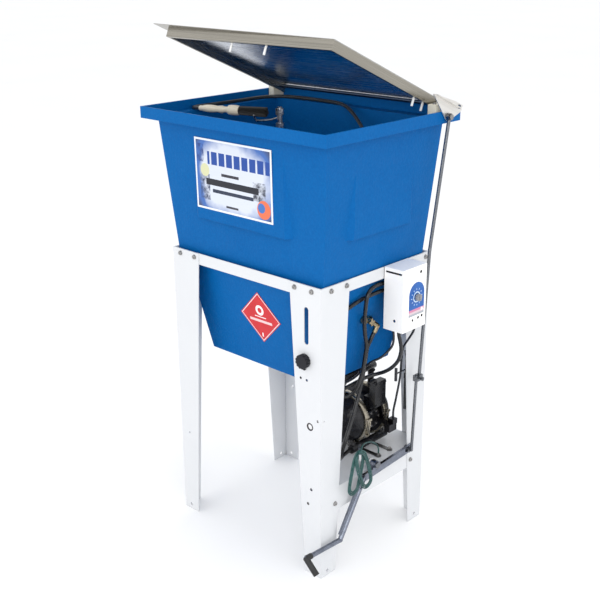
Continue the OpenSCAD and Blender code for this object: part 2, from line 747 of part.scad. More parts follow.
module control_box() {
    color("white") place() difference() {
        box(half_w, box_x, box_front, box_back, box_bottom, box_top);
        box(half_w - 4, box_x - 2, box_front + 2, box_back - 2, box_bottom - 1, rail_z - 2);
        box(half_w + sheet, box_x - 2, box_front + 2, box_back - 2, rail_z - 3, box_top - 2);
        // Gap at the top of the front side
        box(half_w + 4, box_x - 6, box_front - 1, box_front + 3, 774, 779);
        cyl_x(5, box_x - 4, box_x + 1, dial_y, dial_z);
        for (h = [[94, 771, 3.6], [65, 649, 2.8], [88, 651, 3.2], [103, 653, 3.2]])
            cyl_x(h[2], box_x - 4, box_x + 1, h[0], h[1]);
        cyl_y(3, box_front - 1, box_front + 3, 299, 652);
    }
}

module control_decal() {
    color("mediumblue") place() difference() {
        union() {
            box(box_x, box_x + 0.5, dial_y - 31, dial_y + 31, 660, dial_z + 8);
            cyl_x(31, box_x, box_x + 0.5, dial_y, dial_z + 8);
        }
        cyl_x(5, box_x - 1, box_x + 2, dial_y, dial_z);
    }
}

module timer_valve() {
    color("gray") place() difference() {
        union() {
            cyl_x(19, 284, box_x - 2, dial_y, dial_z);
            box(286, 312, dial_y - 14, dial_y + 14, dial_z - 46, dial_z - 12);
        }
        cyl_x(3.06, 300, box_x, dial_y, dial_z);
    }
}

module timer_knob() {
    color("black") place() {
        cyl_x(3, 304, box_x + 4, dial_y, dial_z);
        difference() {
            cyl_x(9, box_x + 2, box_x + 11, dial_y, dial_z);
            for (a = [0:30:330]) cyl_x(1.4, box_x + 1, box_x + 12, dial_y + 9.6 * cos(a), dial_z + 9.6 * sin(a));
        }
        box(box_x + 10.5, box_x + 14, dial_y - 2, dial_y + 2, dial_z - 7.5, dial_z + 7.5);
    }
}

// Air inlet under the control box, with a threaded socket that opens downwards
module air_inlet_fitting() {
    color("goldenrod") place() difference() {
        union() {
            translate([300, 84, box_bottom - 10]) cylinder(r = 10, h = 26, $fn = 6);
            translate([300, 84, box_bottom + 12]) cylinder(r = 6, h = 20);
            box(286, 314, 72, box_back - 2, box_bottom + 26, box_bottom + 29);
        }
        translate([300, 84, box_bottom - 11]) cylinder(r = 6.5, h = 13);
    }
}

module air_valve_body() {
    color("gray") place() difference() {
        union() {
            box(knob_x - 16, knob_x + 16, -half_d + sheet, -178, knob_z - 16, knob_z + 16);
            cyl_y(7.6, -209.5, -206, knob_x, knob_z);
        }
        cyl_y(4.06, -212, -186, knob_x, knob_z);
    }
}

module air_valve_knob() {
    color("black") place() {
        cyl_y(4, -212, -188, knob_x, knob_z);
        difference() {
            cyl_y(18, -226, -211.5, knob_x, knob_z);
            for (a = [0:30:330]) cyl_y(2.4, -230, -210, knob_x + 18.6 * cos(a), knob_z + 18.6 * sin(a));
        }
        // Pointer below the knob
        box(knob_x - 3, knob_x + 3, -216, -211.5, knob_z - 24, knob_z - 12);
    }
}

// --------------------------------------------------------- valve and hoses

module drain_valve() {
    color("goldenrod") place() difference() {
        union() {
            cyl_x(9, wall_x(drain_z) - 14, wall_x(drain_z) + 5, drain_y, drain_z);
            cyl_x(12, wall_x(drain_z) + 3, wall_x(drain_z) + 6, drain_y, drain_z);
            cyl_y(8.5, drain_y - 11, drain_y + 17, 237, drain_z);
            bar([237, drain_y + 12, drain_z], [238, 32, 622], 6.5);
            translate([238, 32, 622]) sphere(r = 7.2);
            bar([238, 32, 622], [236.5, 22, 606], 6.8);
            cyl_x(6, 236, 251, drain_y, drain_z);
        }
        cyl_x(2.56, 243, 258, drain_y, drain_z);
    }
}

module drain_handle() {
    color("goldenrod") place() {
        cyl_x(2.5, 244, 254, drain_y, drain_z);
        difference() {
            cyl_x(10, 252, 257, drain_y, drain_z);
            for (a = [45:90:315]) cyl_x(5, 251, 258, drain_y + 10.5 * cos(a), drain_z + 10.5 * sin(a));
        }
    }
}

module suction_hose() {
    color("black") place() hose(suction_route, 6.2, [1, 0.35, 0.1]);
}

module discharge_hose() {
    color("black") place() hose(discharge_route, 6, [-1, -1, 1]);
}

module air_hoses() {
    color("black") place() {
        hose(valve_hose_route, 5.5, [1, 0.1, 0.2]);
        hose(exhaust_route, 5.5, [0.7, 0.1, 0.7]);
        hose(supply_route, 3, [0.7, -0.7, 0.1]);
        hose(signal_route, 3, [0.3, -1, 0.1]);
    }
}

// Bulkhead unions, elbow and hose tails where the hoses end
module hose_fittings() {
    color("silver") place() {
        // Discharge union through the tank wall, with its elbow outside
        cyl_x(8, 232, 262, 90, 736);
        cyl_y(8, 76, 90, 254, 736);
        cyl_x(13, wall_x(736) + 1.8, wall_x(736) + 6, 90, 736);
        // Elbow of the air line that comes out of the timer valve
        cyl_y(7.5, 60, 74, 256, 722);
        cyl_x(5, 256, 283.9, 68, 718);
    }
}

module spray_riser() {
    color("silver") place() {
        translate([riser[0], riser[1], tank_floor + wall]) cylinder(r = 7, h = 1152 - tank_floor - wall);
        translate([riser[0], riser[1], tank_floor + wall]) cylinder(r = 22, h = 5);
        for (z = [1062, 1096, 1132]) translate([riser[0], riser[1], z]) cylinder(r = 11, h = 16, $fn = 6);
        for (z = [700, 900]) bar([riser[0], riser[1], z], [riser[0], riser[1] - 40, z + 20], 5);
        // Hook that carries the brush
        bar_path([[riser[0], riser[1], 1126], [-76, -24, 1118], [-92, -34, 1116], [-96, -56, 1118],
            [-96, -66, 1132]], 2.5);
    }
}

// ------------------------------------------------------ wash brush, cords

// Turned piece along the brush, from one distance to another
module turned(from, to, r) {
    axis = unit(brush_b - brush_a);
    bar(brush_a + axis * from, brush_a + axis * to, r);
}

module brush_handle() {
    color("ivory") place() {
        turned(0, 13, 7);
        turned(12, 71, 10);
        turned(70, 87, 8);
        turned(86, 122, 13);
    }
}

module brush_bristles() {
    color("black") place() turned(122, norm(brush_b - brush_a), 13);
}

module brush_hose() {
    color("black") place() hose(brush_hose_route, hose_r, [0.25, 0.2, 1]);
}

// Strap that stands on the shelf and reaches over the pedal lever
module earth_cable_hook() {
    color("silver") place() translate([251, -45, shelf_z]) rotate([0, 0, -49.6]) {
        box(-14, 0, -5, 5, 0, 2);
        box(-2, 0, -3, 3, 0, 74);
        box(-2, 79, -3, 3, 72, 74);
        box(77, 79, -3, 3, 72, 88);
    }
}

module earth_cable_lead() {
    color("seagreen") place() hose(earth_route, lead_r, [0.8, 0.6, -0.1]);
}

// Flat outline of one loop: two half rounds joined by straight sides
module stadium(r) {
    low = hank_w - hank_drop;
    translate([-r, low]) square([2 * r, -low]);
    for (y = [0, low]) translate([0, y]) circle(r = r);
}
module earth_cable_hank() {
    loop = hank_w / 2;
    // Two loops hung from one hook, leaning apart
    color("seagreen") place() for (t = [[-15, 288.4], [20, 293.6]])
        translate([t[1], -92, hank_top - loop]) rotate([t[0], 0, 0]) rotate([90, 0, 90])
            linear_extrude(height = 5, center = true) difference() {
                stadium(loop);
                stadium(loop - 13);
            }
}

// Short air tube with a coupling sleeve and a plug, tied up beside the leg
module air_whip() {
    color("black") place() {
        bar([256, 130, 528], [254, 139, 502], 2.4);
        translate([254, 139, 502]) sphere(r = 2.9);
        translate([254, 139, 440]) cylinder(r = 2.6, h = 62);
        translate([254, 139, 356]) cylinder(r = 4.4, h = 92);
        translate([254, 139, 447]) cylinder(r = 5.6, h = 13);
        cyl_y(2, 93, 139, 257, 474);
        translate([257, 92, 454]) cylinder(r = 4, h = 36);
    }
}

// ------------------------------------------------------------------ nodes

tank();
tank_label();
hazard_diamond();
front_left_leg();
front_right_leg();
rear_left_leg();
rear_right_leg();
front_rail();
rear_rail();
left_rail();
right_rail();
rail_bolts();
pump_shelf();
shelf_bolts();
hinge_blocks();
block_screws();
hinge_shaft();
lid_sheet();
lid_skirt();
lid_guide_pegs();
lid_crank();
crank_pin();
upper_rod();
rod_coupler();
lower_rod();
pedal_bracket();
pedal_pivot_pin();
pedal_lever();
pedal_grip();
pump_body();
pump_front_chamber();
pump_rear_chamber();
pump_band_clamps();
pump_diaphragms();
pump_shaft();
pump_manifolds();
pump_muffler();
pump_feet();
pump_bolts();
control_box();
control_decal();
timer_valve();
timer_knob();
air_inlet_fitting();
air_valve_body();
air_valve_knob();
drain_valve();
drain_handle();
suction_hose();
discharge_hose();
air_hoses();
hose_fittings();
spray_riser();
brush_handle();
brush_bristles();
brush_hose();
earth_cable_hook();
earth_cable_lead();
earth_cable_hank();
air_whip();
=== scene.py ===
import math
import random

import bmesh
import bpy
from mathutils import Matrix, Vector


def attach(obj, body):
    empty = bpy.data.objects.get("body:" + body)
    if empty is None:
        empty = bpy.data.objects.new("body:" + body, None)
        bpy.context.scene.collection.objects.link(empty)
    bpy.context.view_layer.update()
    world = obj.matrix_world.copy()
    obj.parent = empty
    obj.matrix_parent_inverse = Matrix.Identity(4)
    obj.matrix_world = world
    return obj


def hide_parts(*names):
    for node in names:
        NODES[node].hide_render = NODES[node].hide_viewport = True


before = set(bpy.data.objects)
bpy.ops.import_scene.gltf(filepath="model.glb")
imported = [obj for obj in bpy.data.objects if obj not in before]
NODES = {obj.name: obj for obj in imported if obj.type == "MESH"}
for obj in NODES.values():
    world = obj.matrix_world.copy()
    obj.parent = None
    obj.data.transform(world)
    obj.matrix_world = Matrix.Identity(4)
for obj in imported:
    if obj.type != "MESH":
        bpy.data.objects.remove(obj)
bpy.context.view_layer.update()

random.seed(7)
# The row frame's origin, from the stand's centre in mm
MID_X, MID_Y = 11.75, -18.07


def at(x, y, z):
    """A point given from the stand's centre in millimetres, in the row frame in metres."""
    return Vector(((x - MID_X) / 1000, (y - MID_Y) / 1000, z / 1000))


# ------------------------------------------------------------------ camera
AZIMUTH, PITCH, ROLL = math.radians(43.34), math.radians(19.62), math.radians(-0.37)
forward = Vector((-math.sin(AZIMUTH) * math.cos(PITCH), math.cos(AZIMUTH) * math.cos(PITCH),
    -math.sin(PITCH)))
right = forward.cross(Vector((0, 0, 1))).normalized()
up = right.cross(forward)
right, up = (right * math.cos(ROLL) + up * math.sin(ROLL), up * math.cos(ROLL) - right * math.sin(ROLL))
camera_data = bpy.data.cameras.new("camera")
camera_data.sensor_width = 36.0
camera_data.lens = 59.42
camera_data.clip_end = 120
camera = bpy.data.objects.new("camera", camera_data)
turn = Matrix((right, up, -forward)).transposed().to_4x4()
turn.translation = at(1711.0, -1814.2, 1531.7)
camera.matrix_world = turn
bpy.context.scene.collection.objects.link(camera)
bpy.context.scene.camera = camera


# --------------------------------------------------------------- materials
class Nodes:
    """Short names for building one material's node tree."""

    def __init__(self, name):
        self.mat = bpy.data.materials.new(name)
        self.mat.use_nodes = True
        self.tree = self.mat.node_tree
        self.shader = self.tree.nodes["Principled BSDF"]
        self.coords = self.add("ShaderNodeTexCoord").outputs["Object"]

    def add(self, kind, **inputs):
        node = self.tree.nodes.new(kind)
        for key, value in inputs.items():
            setattr(node, key, value)
        return node

    def link(self, a, b):
        self.tree.links.new(a, b)

    def axes(self):
        """The object's own X, Y and Z as three values."""
        split = self.add("ShaderNodeSeparateXYZ")
        self.link(self.coords, split.inputs[0])
        return split.outputs

    def between(self, value, low, high):
        """1 where a value lies between two limits."""
        above, below = self.math("GREATER_THAN", value, low), self.math("LESS_THAN", value, high)
        return self.math("MULTIPLY", above, below)

    def scaled(self, scale, turn=(0, 0, 0)):
        m = self.add("ShaderNodeMapping")
        m.inputs["Scale"].default_value = scale
        r = self.add("ShaderNodeMapping")
        r.inputs["Rotation"].default_value = turn
        self.link(self.coords, r.inputs["Vector"])
        self.link(r.outputs[0], m.inputs["Vector"])
        return m.outputs[0]

    def noise(self, scale, detail=3.0, rough=0.55, vector=None):
        n = self.add("ShaderNodeTexNoise")
        n.inputs["Scale"].default_value = scale
        n.inputs["Detail"].default_value = detail
        n.inputs["Roughness"].default_value = rough
        self.link(vector or self.coords, n.inputs["Vector"])
        return n.outputs["Fac"]

    def cells(self, scale, feature="F1"):
        n = self.add("ShaderNodeTexVoronoi", feature=feature)
        n.inputs["Scale"].default_value = scale
        self.link(self.coords, n.inputs["Vector"])
        return n.outputs["Distance"]

    def remap(self, value, low, high, to_low, to_high):
        n = self.add("ShaderNodeMapRange")
        for key, number in zip(("From Min", "From Max", "To Min", "To Max"), (low, high, to_low, to_high)):
            n.inputs[key].default_value = number
        self.link(value, n.inputs["Value"])
        return n.outputs[0]

    def math(self, kind, a, b=None):
        n = self.add("ShaderNodeMath", operation=kind)
        for i, v in enumerate((a, b)):
            if v is None:
                continue
            if isinstance(v, (int, float)):
                n.inputs[i].default_value = v
            else:
                self.link(v, n.inputs[i])
        return n.outputs[0]

    def blend(self, fac, a, b):
        n = self.add("ShaderNodeMix", data_type="RGBA")
        for socket, v in ((n.inputs[0], fac), (n.inputs[6], a), (n.inputs[7], b)):
            if isinstance(v, (int, float)):
                socket.default_value = v
            elif isinstance(v, (tuple, list)):
                socket.default_value = (*v, 1)
            else:
                self.link(v, socket)
        return n.outputs[2]

    def wear(self, radius=0.002, low=0.02, high=0.12):
        """1 along convex and concave edges, 0 on the flats."""
        b = self.add("ShaderNodeBevel", samples=4)
        b.inputs["Radius"].default_value = radius
        g = self.add("ShaderNodeNewGeometry")
        d = self.add("ShaderNodeVectorMath", operation="DOT_PRODUCT")
        self.link(b.outputs[0], d.inputs[0])
        self.link(g.outputs["Normal"], d.inputs[1])
        return self.remap(self.math("SUBTRACT", 1.0, d.outputs["Value"]), low, high, 0.0, 1.0)

    def bump(self, height, distance, strength=1.0, after=None):
        b = self.add("ShaderNodeBump")
        b.inputs["Distance"].default_value = distance
        b.inputs["Strength"].default_value = strength
        self.link(height, b.inputs["Height"])
        if after is not None:
            self.link(after, b.inputs["Normal"])
        return b.outputs[0]

    def done(self, color, rough, normal=None, **constants):
        for socket, v in (("Base Color", color), ("Roughness", rough)):
            if isinstance(v, tuple):
                self.shader.inputs[socket].default_value = (*v, 1)
            elif isinstance(v, (int, float)):
                self.shader.inputs[socket].default_value = v
            else:
                self.link(v, self.shader.inputs[socket])
        if normal is not None:
            self.link(normal, self.shader.inputs["Normal"])
        for key, v in constants.items():
            self.shader.inputs[key.replace("_", " ")].default_value = v
        return self.mat


def moulded(name, color, light, rough=0.45, grain=260.0, depth=0.0006, specular=0.5):
    """Moulded plastic: a slow change of shade, a pebbled skin and paler scuffed edges."""
    n = Nodes(name)
    slow = n.noise(3.0, 4)
    speck = n.noise(grain, 2)
    tint = n.blend(n.remap(slow, 0.3, 0.7, 0.0, 0.35), color, light)
    tint = n.blend(n.remap(speck, 0.40, 0.68, 0.0, 0.45), tint, light)
    tint = n.blend(n.math("MULTIPLY", n.wear(0.0025), 0.35), tint, light)
    skin = n.bump(n.math("ADD", n.noise(grain, 2), n.cells(grain * 0.8)), depth, 0.35)
    return n.done(tint, n.remap(n.noise(30.0), 0.3, 0.7, rough - 0.06, rough + 0.08), skin,
                  Specular_IOR_Level=specular)


def powder(name, color, shade, rough=0.38, shade_and_grommet_rings=()):
    """Powder coat: orange-peel skin, faint hand marks, darker edges, painted shade near black in small
    hollows and hole walls, and dark rings round given front holes: painted shade round small holes, a dark
    grommet round a large one.
    """
    n = Nodes(name)
    marks = n.remap(n.noise(9.0, 5, 0.62), 0.45, 0.8, 0.0, 0.22)
    tint = n.blend(marks, color, shade)
    tint = n.blend(n.math("MULTIPLY", n.wear(0.0015), 0.25), tint, shade)
    axes = n.axes()
    # Dark rings round the given holes: painted shade round small holes, a dark grommet's colour round a large
    # one
    for x, z, inner, outer in shade_and_grommet_rings:
        place = ((x - MID_X) / 1000, z / 1000, inner / 1000, outer / 1000)
        tint = n.blend(ring(n, axes["X"], axes["Z"], *place), tint, SHADE_AND_GROMMET_BROWN)
    # Painted shade: small hollows and hole walls are darkened to near black, where shade falls in them
    hollow = n.add("ShaderNodeAmbientOcclusion", samples=6)
    hollow.inputs["Distance"].default_value = 0.006
    tint = n.blend(n.remap(hollow.outputs["AO"], 0.15, 0.55, 0.9, 0.0), tint, (0.02, 0.02, 0.025))
    peel = n.bump(n.noise(520.0, 1), 0.0003, 0.35)
    return n.done(tint, n.remap(n.noise(60.0), 0.3, 0.7, rough - 0.05, rough + 0.10), peel,
                  Specular_IOR_Level=0.5)


def box_white():
    """The control box: white powder outside, painted lighter and warmer than the legs' white against the
    tank's shade and blue cast, and painted shade inside, so its small holes read dark.
    """
    n = Nodes("box_powder")
    x, y, z = n.axes()
    within = n.math("MULTIPLY", n.math("LESS_THAN", x, BOX_IN_X), n.math("LESS_THAN", z, BOX_IN_Z))
    within = n.math("MULTIPLY", within, n.between(y, *BOX_IN_Y))
    marks = n.remap(n.noise(9.0, 5, 0.62), 0.45, 0.8, 0.0, 0.22)
    # Painted light: a lighter, warmer copy of the white powder, lifting the box out of the shade and blue
    # cast the tank puts on it
    tint = n.blend(marks, (0.97, 0.96, 0.94), (0.92, 0.92, 0.91))
    # Painted shade: the inner faces of the box's sheet and its small holes go near black
    tint = n.blend(within, tint, SHADE)
    for hole_y, hole_z, hole_r in BOX_FRONT_HOLES:
        dot = ring(n, y, z, (hole_y - MID_Y) / 1000, hole_z / 1000, 0.0, hole_r / 1000)
        tint = n.blend(dot, tint, SHADE)
    hole_x, hole_z, hole_r = BOX_SIDE_HOLE
    tint = n.blend(ring(n, x, z, (hole_x - MID_X) / 1000, hole_z / 1000, 0.0, hole_r / 1000), tint, SHADE)
    return n.done(tint, n.remap(n.noise(60.0), 0.3, 0.7, 0.33, 0.48), n.bump(n.noise(520.0, 1), 0.0003, 0.35))


def brushed(name, color, dark, rough=0.30, tilt=0.0, along="x", fine=900.0, aniso=0.55, painted_underside_reflection=None):
    """Brushed sheet: fine lines along the width on front and top, and along the depth on the sides."""
    n = Nodes(name)
    lines_x = n.noise(1.0, 3, 0.6, n.scaled((1.6, fine, fine), (tilt, 0, 0)))
    lines_y = n.noise(1.0, 3, 0.6, n.scaled((fine, 1.6, fine), (tilt, 0, 0)))
    g = n.add("ShaderNodeNewGeometry")
    split = n.add("ShaderNodeSeparateXYZ")
    n.link(g.outputs["True Normal"], split.inputs[0])
    side = n.math("GREATER_THAN", n.math("ABSOLUTE", split.outputs["X"]), 0.5)
    mix = n.add("ShaderNodeMix", data_type="FLOAT")
    n.link(side, mix.inputs[0])
    n.link(lines_x if along == "x" else lines_y, mix.inputs[2])
    n.link(lines_y, mix.inputs[3])
    lines = mix.outputs[0]
    blotch = n.noise(6.0, 4)
    tint = n.blend(n.remap(lines, 0.3, 0.7, 0.0, 1.0), dark, color)
    tint = n.blend(n.remap(blotch, 0.35, 0.75, 0.0, 0.25), tint, dark)
    if painted_underside_reflection:
        # Painted reflection: the face inside the skirt, which looks down, is painted a brighter steel than
        # the overhang outside it, standing in for what it reflects; the real lid is one sheet
        axes = n.axes()
        within = n.math("MULTIPLY", n.math("GREATER_THAN", axes["X"], SKIRT_LEFT),
                        n.math("GREATER_THAN", axes["Y"], SKIRT_FRONT))
        tint = n.blend(n.math("MULTIPLY", within, n.math("LESS_THAN", split.outputs["Z"], -0.3)), tint, painted_underside_reflection)
    scratched = n.math("ADD", n.remap(lines, 0.3, 0.7, rough - 0.07, rough + 0.07),
                       n.remap(blotch, 0.3, 0.7, -0.03, 0.05))
    return n.done(tint, scratched, n.bump(lines, 0.00012, 0.5), Metallic=1.0, Anisotropic=aniso)


def metal(name, color, dark, rough=0.28, grain=140.0):
    """Plain metal with drawn or cast variation and larger darker blotches."""
    n = Nodes(name)
    tint = n.blend(n.remap(n.noise(grain, 4, 0.6), 0.35, 0.7, 0.0, 0.6), color, dark)
    tint = n.blend(n.remap(n.noise(18.0, 4), 0.5, 0.75, 0.0, 0.4), tint, dark)
    return n.done(tint, n.remap(n.noise(grain * 0.7, 3), 0.3, 0.7, rough - 0.08, rough + 0.12),
                  n.bump(n.noise(grain * 3, 2), 0.0001, 0.4), Metallic=1.0)


def rubber(name, color, light, rough=0.5, grain=700.0, weave=0.0):
    """Hose rubber with a faint bloom and a fine grain."""
    n = Nodes(name)
    bloom = n.remap(n.noise(24.0, 5, 0.65), 0.42, 0.8, 0.0, 0.55)
    tint = n.blend(bloom, color, light)
    fine = n.bump(n.noise(grain, 2), 0.0002, 0.35)
    if weave:
        cross = n.cells(weave, "SMOOTH_F1")
        tint = n.blend(n.remap(cross, 0.2, 0.7, 0.0, 0.5), tint, light)
        fine = n.bump(cross, 0.0003, 0.6, fine)
    return n.done(tint, n.remap(n.noise(45.0), 0.3, 0.7, rough - 0.08, rough + 0.10), fine,
                  Specular_IOR_Level=0.5)


def area(n, u, v, u0, u1, v0, v1):
    """1 inside a rectangle of two coordinates."""
    return n.math("MULTIPLY", n.between(u, u0, u1), n.between(v, v0, v1))


def ring(n, u, v, cu, cv, inner, outer, stretch=1.0):
    """1 between two circles round a point."""
    du, dv = n.math("SUBTRACT", u, cu), n.math("MULTIPLY", n.math("SUBTRACT", v, cv), stretch)
    d = n.math("SQRT", n.math("ADD", n.math("MULTIPLY", du, du), n.math("MULTIPLY", dv, dv)))
    return n.between(d, inner, outer)


def span(n, axis, middle, half):
    """One of the object's coordinates, as -1 to 1 across a printed face."""
    return n.math("DIVIDE", n.math("SUBTRACT", n.axes()[axis], middle), half)


def printed(n, tint, rough=0.32):
    """Finishes a printed face: smooth vinyl with a faint grain."""
    return n.done(tint, n.remap(n.noise(50.0), 0.3, 0.7, rough - 0.05, rough + 0.06),
                  n.bump(n.noise(700.0, 1), 0.0001, 0.25), Specular_IOR_Level=0.4)


# Each as its corners across the label, from -1 to 1, and its colour
LABEL_BLOTS = (((-0.88, -0.62, -0.72, 0.02), (0.030, 0.045, 0.100)),
    ((0.52, 0.84, -0.46, 0.06), (0.045, 0.050, 0.070)),
    ((-0.94, -0.76, 0.34, 0.84), (0.015, 0.040, 0.180)))
LABEL_BARS = (((-0.30, 0.16, 0.02, 0.10), (0.03, 0.03, 0.04)),
    ((-0.72, 0.66, -0.28, -0.10), (0.010, 0.012, 0.020)),
    ((-0.55, 0.52, -0.48, -0.38), (0.020, 0.030, 0.060)),
    ((-0.20, 0.12, -0.84, -0.78), (0.04, 0.04, 0.05)))


def label_print():
    """Plain printed label: pale middle, blue and grey corners, bars in place of lettering, white border."""
    n = Nodes("label_vinyl")
    u, v = span(n, "X", -0.02875, 0.134), span(n, "Z", 1.004, 0.089)
    far = n.math("ADD", n.math("MULTIPLY", n.math("MULTIPLY", u, u), 0.95),
                 n.math("MULTIPLY", n.math("MULTIPLY", v, v), 0.85))
    far = n.math("ADD", far, n.remap(n.noise(16.0, 3), 0.3, 0.7, -0.20, 0.20))
    left = n.remap(u, -0.75, -1.0, 0.0, 0.8)
    tint = n.blend(n.remap(n.math("ADD", far, left), 0.62, 1.20, 0.0, 1.0), (0.62, 0.66, 0.74),
                   (0.05, 0.14, 0.42))
    tint = n.blend(n.remap(far, 1.30, 1.70, 0.0, 1.0), tint, (0.050, 0.052, 0.085))
    murk = n.remap(n.noise(60.0, 4, 0.7), 0.40, 0.62, 0.0, 1.0)
    for box, paint in LABEL_BLOTS:
        tint = n.blend(n.math("MULTIPLY", murk, area(n, u, v, *box)), tint, paint)
    stripe = n.math("FRACT", n.math("MULTIPLY", u, 5.0))
    gaps = n.math("MULTIPLY", n.math("GREATER_THAN", stripe, 0.22), area(n, u, v, -0.66, 0.95, 0.30, 0.66))
    tint = n.blend(gaps, tint, (0.010, 0.060, 0.300))
    for box, paint in LABEL_BARS:
        tint = n.blend(area(n, u, v, *box), tint, paint)
    tint = n.blend(ring(n, u, v, 0.78, -0.66, 0.0, 0.17, 0.66), tint, (0.72, 0.16, 0.07))
    tint = n.blend(ring(n, u, v, 0.72, -0.62, 0.0, 0.09, 0.66), tint, (0.05, 0.16, 0.46))
    tint = n.blend(ring(n, u, v, -0.74, 0.12, 0.0, 0.12, 0.66), tint, (0.62, 0.62, 0.38))
    inner = area(n, u, v, -0.962, 0.962, -0.945, 0.945)
    return printed(n, n.blend(inner, (0.78, 0.80, 0.84), tint))


def diamond_print():
    """Plain red diamond with a pale line inside its edge, a pale ring and a bar."""
    n = Nodes("hazard_vinyl")
    u, v = span(n, "X", 0.00225, 0.0718), span(n, "Z", 0.642, 0.0709)
    far = n.math("ADD", n.math("ABSOLUTE", u), n.math("ABSOLUTE", v))
    tint = n.blend(n.remap(n.noise(20.0), 0.3, 0.7, 0.0, 1.0), (0.52, 0.010, 0.016), (0.60, 0.018, 0.026))
    tint = n.blend(area(n, u, v, -0.55, 0.55, -0.20, -0.10), tint, (0.78, 0.55, 0.56))
    mark = (0.84, 0.80, 0.80)
    tint = n.blend(ring(n, u, v, 0.0, 0.28, 0.10, 0.20), tint, mark)
    tint = n.blend(area(n, u, v, -0.28, 0.28, 0.00, 0.035), tint, mark)
    tint = n.blend(area(n, u, v, -0.03, 0.03, -0.78, -0.62), tint, mark)
    return printed(n, n.blend(n.between(far, 0.915, 0.955), tint, (0.84, 0.72, 0.73)))


def decal_print():
    """Plain printed decal: blue with a white ring and ticks round the dial, a pink band and a grey foot."""
    n = Nodes("decal_vinyl")
    u, v = span(n, "Y", 0.09707, 0.031), span(n, "Z", 0.708, 0.031)
    tint = n.blend(n.remap(n.noise(30.0), 0.3, 0.7, 0.0, 1.0), (0.006, 0.085, 0.340), (0.012, 0.120, 0.440))
    angle = n.math("ARCTAN2", v, u)
    tick = n.math("LESS_THAN", n.math("FRACT", n.math("MULTIPLY", angle, 12 / (2 * math.pi))), 0.22)
    tint = n.blend(n.math("MULTIPLY", tick, ring(n, u, v, 0.0, 0.0, 0.60, 0.74)), tint, (0.45, 0.58, 0.82))
    tint = n.blend(ring(n, u, v, 0.0, 0.0, 0.36, 0.46), tint, (0.62, 0.76, 0.90))
    tint = n.blend(area(n, u, v, -1.1, 1.1, -1.35, -0.98), tint, (0.62, 0.22, 0.36))
    tint = n.blend(area(n, u, v, -1.1, 1.1, -1.7, -1.18), tint, (0.66, 0.52, 0.56))
    tint = n.blend(area(n, u, v, -1.1, 1.1, -1.7, -1.36), tint, (0.38, 0.40, 0.44))
    tint = n.blend(ring(n, u, v, 0.72, -1.16, 0.0, 0.15), tint, (0.82, 0.82, 0.82))
    return printed(n, tint)


LID_TILT = math.radians(23.4)
# Inside of the lid's skirt, in the row frame, where the face that looks down gets its painted reflection
SKIRT_LEFT, SKIRT_FRONT = -0.288, -0.160
# Holes of the front right leg: x, z, inner and outer radius of the dark ring, in mm; round the small holes
# the ring is painted shade, round the large hole it is a dark grommet
HOLE_SHADE_AND_GROMMET_RINGS = ((198, 545, 0, 3.4), (218, 544, 0, 3.4), (228, 422, 5.0, 10.5), (254, 445, 0, 3.4),
    (232, 248, 0, 4.0), (221, 204, 0, 4.0))
# Just inside the control box's sheet: its front, its top and its two sides, in the row frame
BOX_IN_X, BOX_IN_Z, BOX_IN_Y = 0.3113, 0.7870, (0.0436, 0.1346)
